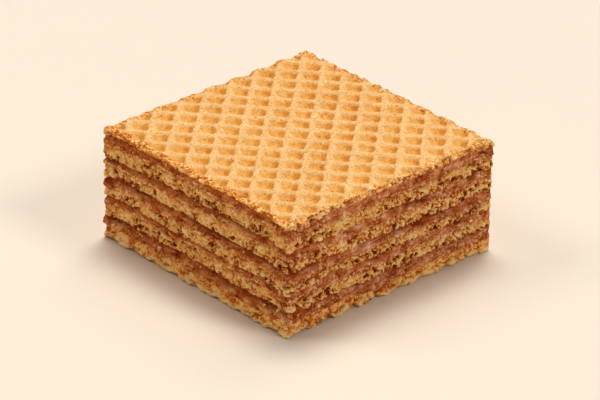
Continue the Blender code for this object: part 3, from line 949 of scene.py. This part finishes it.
def cream_colour(tree, fine):
    """Nut cream: brown with a mauve cast where it is smooth and pale, redder and darker in its hollows, partly painted
    shade; rise also brings painted top light, and each side gets a painted light tint.
    """
    broad = pattern(tree, 0.55, 4.0, 0.6)
    warm = pattern(tree, 1.3, 3.0, 0.6)
    mixed = math_node(tree, "ADD", attribute(tree, "rise"), math_node(tree, "MULTIPLY", math_node(tree, "SUBTRACT", fine, 0.5), 1.0))
    mixed = centred(tree, mixed, broad, 1.7)
    base = ramp(tree, mixed, [(0.02, srgb(118, 36, 0)), (0.28, srgb(158, 70, 16)), (0.50, srgb(194, 106, 46)), (0.72, srgb(218, 142, 80)), (0.98, srgb(246, 190, 132))])
    base = mix(tree, ramp(tree, centred(tree, warm, fine, 0.5), [(0.54, grey(0.0)), (0.74, grey(0.6))]), base, srgb(190, 82, 14))
    # painted light: the cream tinted cooler on the lit side and warmer and darker on the shaded side
    return mix(tree, 1.0, base, ramp(tree, attribute(tree, "mauve"), [(0.0, (0.96, 0.84, 0.62)), (1.0, (0.99, 1.03, 1.40))]), "MULTIPLY")


def crumb_material():
    mat, tree, shader = node_tree("wafer_crumb_look")
    fine = pattern(tree, 2.8, 2.5, 0.8)
    base = wafer_colour(tree, fine)
    smear = ramp(tree, centred(tree, attribute(tree, "smear"), fine, 0.9), [(0.10, grey(0.0)), (0.95, grey(0.92))])
    base = mix(tree, smear, base, cream_colour(tree, fine))
    tree.links.new(base, shader.inputs["Base Color"])
    shader.inputs["Roughness"].default_value = 0.9
    shader.inputs["Specular IOR Level"].default_value = 0.12
    bump(tree, shader, pattern(tree, 6.0, 4.0, 0.65), 0.00010, 1.0)
    return mat


def cream_material():
    mat, tree, shader = node_tree("nut_cream_look")
    fine = pattern(tree, 3.0, 4.0, 0.6)
    base = cream_colour(tree, fine)
    base = mix(tree, ramp(tree, attribute(tree, "smear"), [(0.03, grey(0.0)), (0.5, grey(0.8))]), base, srgb(140, 42, 0))
    hole = ramp(tree, attribute(tree, "cavity"), [(0.03, grey(0.0)), (0.25, grey(1.0))])
    base = mix(tree, math_node(tree, "MULTIPLY", hole, 0.7), base, srgb(128, 46, 4))
    stuck = ramp(tree, centred(tree, attribute(tree, "crumb"), fine, 0.8), [(0.25, grey(0.0)), (0.75, grey(0.95))])
    base = mix(tree, stuck, base, wafer_colour(tree, fine))
    tree.links.new(base, shader.inputs["Base Color"])
    gloss = ramp(tree, attribute(tree, "rise"), [(0.4, grey(0.85)), (0.9, grey(0.42))])
    tree.links.new(gloss, shader.inputs["Roughness"])
    shader.inputs["Specular IOR Level"].default_value = 0.14
    bump(tree, shader, pattern(tree, 4.0, 3.0, 0.6), 0.00009, 0.9)
    return mat


def crust_material():
    mat, tree, shader = node_tree("golden_crust_look")
    broad = pattern(tree, 0.22, 3.0)
    mid = pattern(tree, 1.5, 3.0, 0.6)
    fine = pattern(tree, 4.5, 4.0, 0.7)
    pit = math_node(tree, "ADD", attribute(tree, "pit"), math_node(tree, "MULTIPLY", math_node(tree, "SUBTRACT", mid, 0.5), 0.7))
    ridge = srgb(249, 197, 130)
    floor_colour = srgb(239, 173, 88)
    # pit floors deeper orange than the ridges: browning, and where tone is high, painted shade as well
    base = mix(tree, ramp(tree, pit, [(0.10, grey(0.0)), (0.85, grey(1.0))]), ridge, floor_colour)
    # painted shade on the steep wall of each pit, the wall turned from the light
    base = mix(tree, ramp(tree, attribute(tree, "wall"), [(0.1, grey(0.0)), (0.8, grey(0.85))]), base, srgb(220, 142, 46))
    # rise: the grain of the crust, and on the cut sides also painted top light
    mixed = math_node(tree, "ADD", attribute(tree, "rise"), math_node(tree, "MULTIPLY", math_node(tree, "SUBTRACT", fine, 0.5), 3.6))
    base = mix(tree, 1.0, base, ramp(tree, mixed, [(0.0, (0.78, 0.62, 0.40)), (0.5, grey(1.0)), (1.0, (1.04, 1.18, 1.42))]), "MULTIPLY")
    browned = ramp(tree, centred(tree, attribute(tree, "rim"), mid, 1.0), [(0.22, grey(0.0)), (0.75, grey(0.9))])
    rim_colour = ramp(tree, mixed, [(0.10, srgb(186, 100, 26)), (0.36, srgb(236, 160, 72)), (0.60, srgb(250, 200, 126)), (0.90, srgb(255, 224, 160))])
    clumps = centred(tree, centred(tree, attribute(tree, "rise"), pattern(tree, 1.9, 3.0, 0.6), 2.6), fine, 0.9)
    orange = ramp(tree, clumps, [(0.10, srgb(178, 74, 4)), (0.36, srgb(224, 124, 28)), (0.60, srgb(244, 174, 80)), (0.88, srgb(255, 222, 152))])
    rim_colour = mix(tree, attribute(tree, "pale"), orange, rim_colour)
    base = mix(tree, browned, base, rim_colour)
    base = mix(tree, 0.5, base, ramp(tree, broad, [(0.35, (0.94, 0.88, 0.78)), (0.65, (1.04, 1.08, 1.12))]), "MULTIPLY")
    facet = centred(tree, centred(tree, attribute(tree, "rise"), fine, 2.0), pattern(tree, 0.8, 3.0, 0.6), 2.2)
    mixed = math_node(tree, "ADD", facet, ramp(tree, attribute(tree, "pale"), [(0.86, grey(0.0)), (1.0, grey(0.16))]))
    side = ramp(tree, mixed, [(0.12, srgb(186, 84, 12)), (0.45, srgb(240, 144, 50)), (0.85, srgb(255, 204, 120))])
    pale = ramp(tree, mixed, [(0.06, srgb(184, 88, 16)), (0.40, srgb(248, 166, 80)), (0.80, srgb(255, 210, 140))])
    side = mix(tree, attribute(tree, "pale"), side, pale)
    side = mix(tree, 1.0, side, ramp(tree, attribute(tree, "pale"), [(0.9, grey(1.0)), (1.0, (1.06, 1.10, 1.10))]), "MULTIPLY")
    base = mix(tree, ramp(tree, attribute(tree, "edge"), [(0.02, grey(0.0)), (0.35, grey(1.0))]), base, side)
    # painted shade: dents and pores made darker
    hole = ramp(tree, attribute(tree, "cavity"), [(0.05, grey(0.0)), (0.4, grey(1.0))])
    base = mix(tree, hole, base, (0.42, 0.24, 0.10), "MULTIPLY")
    tree.links.new(base, shader.inputs["Base Color"])
    shader.inputs["Roughness"].default_value = 0.8
    shader.inputs["Specular IOR Level"].default_value = 0.15
    bump(tree, shader, pattern(tree, 5.0, 3.0, 0.65), 0.00007, 0.9)
    return mat


crust, crumb, cream = crust_material(), crumb_material(), cream_material()
print("materials", round(time.time() - started, 1))
for i, node in enumerate(NODES):
    if i == 0:
        piece(outer_wafer(True), node + "_look", node, crust)
    elif i == len(NODES) - 1:
        piece(outer_wafer(False), node + "_look", node, crust)
    else:
        wafer = node.startswith("wafer")
        piece(inner_layer(i), node + "_look", node, crumb if wafer else cream)
    print(node, round(time.time() - started, 1))
piece(crumbs(np.random.default_rng(5), 110), "crumbs", None, crumb)


# ------------------------------------------------------------------ floor, light, camera
FLOOR = srgb(252, 235, 215)


def floor():
    mesh = bpy.data.meshes.new("floor")
    r = 6.0
    mesh.from_pydata([(-r, -r, 0), (r, -r, 0), (r, r, 0), (-r, r, 0)], [], [(0, 1, 2, 3)])
    obj = bpy.data.objects.new("floor", mesh)
    obj.location.z = -0.00002
    bpy.context.scene.collection.objects.link(obj)
    mat, tree, shader = node_tree("floor")
    shader.inputs["Base Color"].default_value = (0.895, 0.785, 0.665, 1.0)
    shader.inputs["Roughness"].default_value = 1.0
    shader.inputs["Specular IOR Level"].default_value = 0.0
    mesh.materials.append(mat)
    obj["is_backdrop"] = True
    return obj


floor()


VIEW_AZ = math.radians(47.148)
TO_CAMERA = Vector((math.sin(VIEW_AZ), -math.cos(VIEW_AZ), 0))
TO_RIGHT = Vector((math.cos(VIEW_AZ), math.sin(VIEW_AZ), 0))


def sun(name, direction, spread, strength, color=(1, 1, 1)):
    """A far soft light. direction points at it, and spread is its width in degrees."""
    light = bpy.data.lights.new(name, "SUN")
    light.angle = math.radians(spread)
    light.energy = strength
    light.color = color
    obj = bpy.data.objects.new(name, light)
    obj.location = (0, 0, 0.5)
    obj.rotation_mode = "QUATERNION"
    obj.rotation_quaternion = Vector(direction).normalized().to_track_quat("Z", "Y")
    bpy.context.scene.collection.objects.link(obj)
    return obj


UP = Vector((0, 0, 1))
# (name, how far to the right and towards the camera its direction leans, width in degrees, strength, colour)
LIGHTS = [
    ("back", 0.0, -0.30, 23, 1.02, (1.0, 0.98, 0.945)),
    ("back_2", -0.16, -0.34, 23, 0.57, (1.0, 0.98, 0.945)),
    ("back_3", 0.16, -0.34, 23, 0.57, (1.0, 0.98, 0.945)),
    ("back_left", -0.709, -0.079, 24, 0.694, (1.0, 0.97, 0.92)),
    ("far_back", 0.293, -0.618, 24, 0.398, (1.0, 0.975, 0.96)),
    ("side_right", 0.675, 0.354, 18, 0.886, (1.0, 0.98, 0.93)),
    ("front_left", -0.60, 0.785, 26, 0.157, (0.96, 1.01, 0.855)),
    ("front", 0.0, 0.988, 26, 0.219, (0.955, 1.03, 0.90)),
    ("front_right", 0.70, 0.70, 26, 0.076, (0.96, 1.02, 0.89)),
]
for name, x, y, width, strength, color in LIGHTS:
    sun(name, x * TO_RIGHT + y * TO_CAMERA + math.sqrt(max(0.0, 1 - x * x - y * y)) * UP, width, strength, color)

world = bpy.data.worlds.new("world")
bpy.context.scene.world = world
world.use_nodes = True
tree = world.node_tree
background = tree.nodes["Background"]
background.inputs["Color"].default_value = (1.0, 0.95, 0.86, 1.0)
background.inputs["Strength"].default_value = 0.012
seen = tree.nodes.new("ShaderNodeBackground")
seen.inputs["Color"].default_value = (*FLOOR, 1.0)
path = tree.nodes.new("ShaderNodeLightPath")
choose = tree.nodes.new("ShaderNodeMixShader")
tree.links.new(path.outputs["Is Camera Ray"], choose.inputs[0])
tree.links.new(background.outputs[0], choose.inputs[1])
tree.links.new(seen.outputs[0], choose.inputs[2])
tree.links.new(choose.outputs[0], tree.nodes["World Output"].inputs["Surface"])

camera_data = bpy.data.cameras.new("camera")
camera = bpy.data.objects.new("camera", camera_data)
bpy.context.scene.collection.objects.link(camera)
bpy.context.scene.camera = camera
azimuth, elevation, roll = math.radians(47.148), math.radians(27.829), math.radians(0.945)
back = Vector((math.sin(azimuth) * math.cos(elevation), -math.cos(azimuth) * math.cos(elevation), math.sin(elevation)))
right = (-back).cross(Vector((0, 0, 1))).normalized()
up = right.cross(-back)
right2 = right * math.cos(roll) + up * math.sin(roll)
up2 = up * math.cos(roll) - right * math.sin(roll)
distance = 12.662 * 2 * HALF / 1000
target = Vector((0, 0, 0.443 * HALF / 1000))
camera.matrix_world = Matrix.Translation(target + back * distance) @ Matrix((right2, up2, back)).transposed().to_4x4()
camera_data.sensor_width = 36.0
camera_data.lens = 3457.566 / 600 * 36.0
camera_data.shift_x = (300 - 297.022) / 600
camera_data.shift_y = (189.948 - 200) / 600
camera_data.clip_start, camera_data.clip_end = 0.01, 20.0

view_settings = bpy.context.scene.view_settings
view_settings.view_transform = "Standard"
view_settings.look = "None"

faces = {o.name: sum(len(f.vertices) - 2 for f in o.data.polygons) for o in bpy.data.objects if o.type == "MESH" and not o.hide_render}
print("triangles", sum(faces.values()), faces)
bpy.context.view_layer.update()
print("built in", round(time.time() - started, 1))
